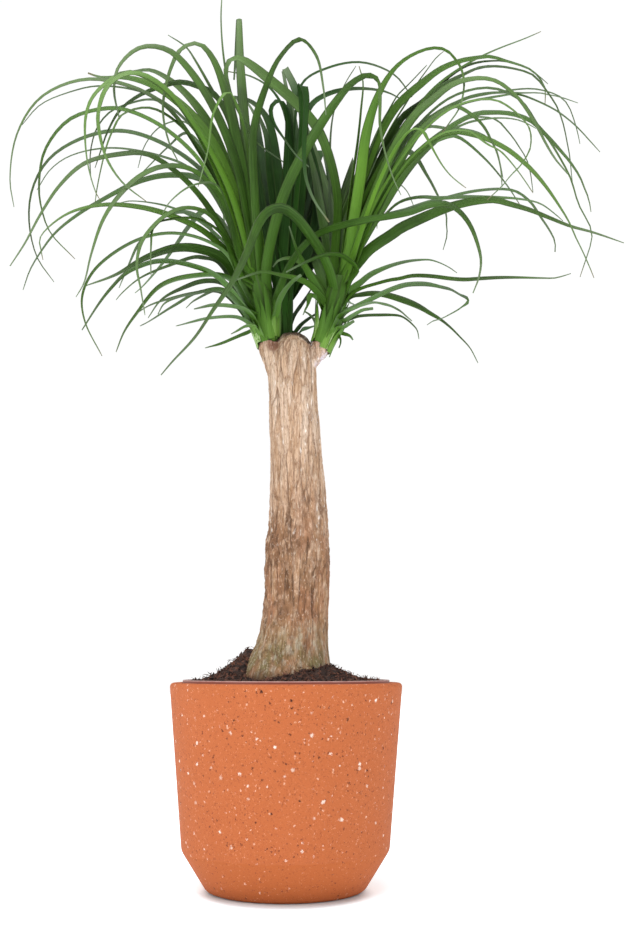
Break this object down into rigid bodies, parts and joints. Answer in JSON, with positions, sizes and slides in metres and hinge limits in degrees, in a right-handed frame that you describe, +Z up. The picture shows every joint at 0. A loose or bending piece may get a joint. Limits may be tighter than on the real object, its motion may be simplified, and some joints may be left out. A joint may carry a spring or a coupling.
{
  "type": "potted ponytail palm",
  "caption": "Ponytail palm with a corky trunk and arching strap leaves, in a nursery pot inside a round speckled planter.",
  "frame": {"origin": "centre of the planter's foot, on the surface it stands on", "axes": "+Z up along the plant, -Y towards the side seen in the picture, +X to the right in it"},
  "size_m": [0.6519, 0.5884, 0.9529],
  "materials": {
    "planter": "matt",
    "grow_pot": "satin",
    "soil": "rough",
    "bark": "rough",
    "leaf": "satin",
    "leaf_dark": "satin"
  },
  "bodies": {
    "root": {"planter": "planter", "grow_pot": "grow_pot", "soil": "soil", "trunk": "bark", "crown_left": "leaf", "crown_right": "leaf", "crown_back": "leaf_dark"}
  },
  "joints": []
}
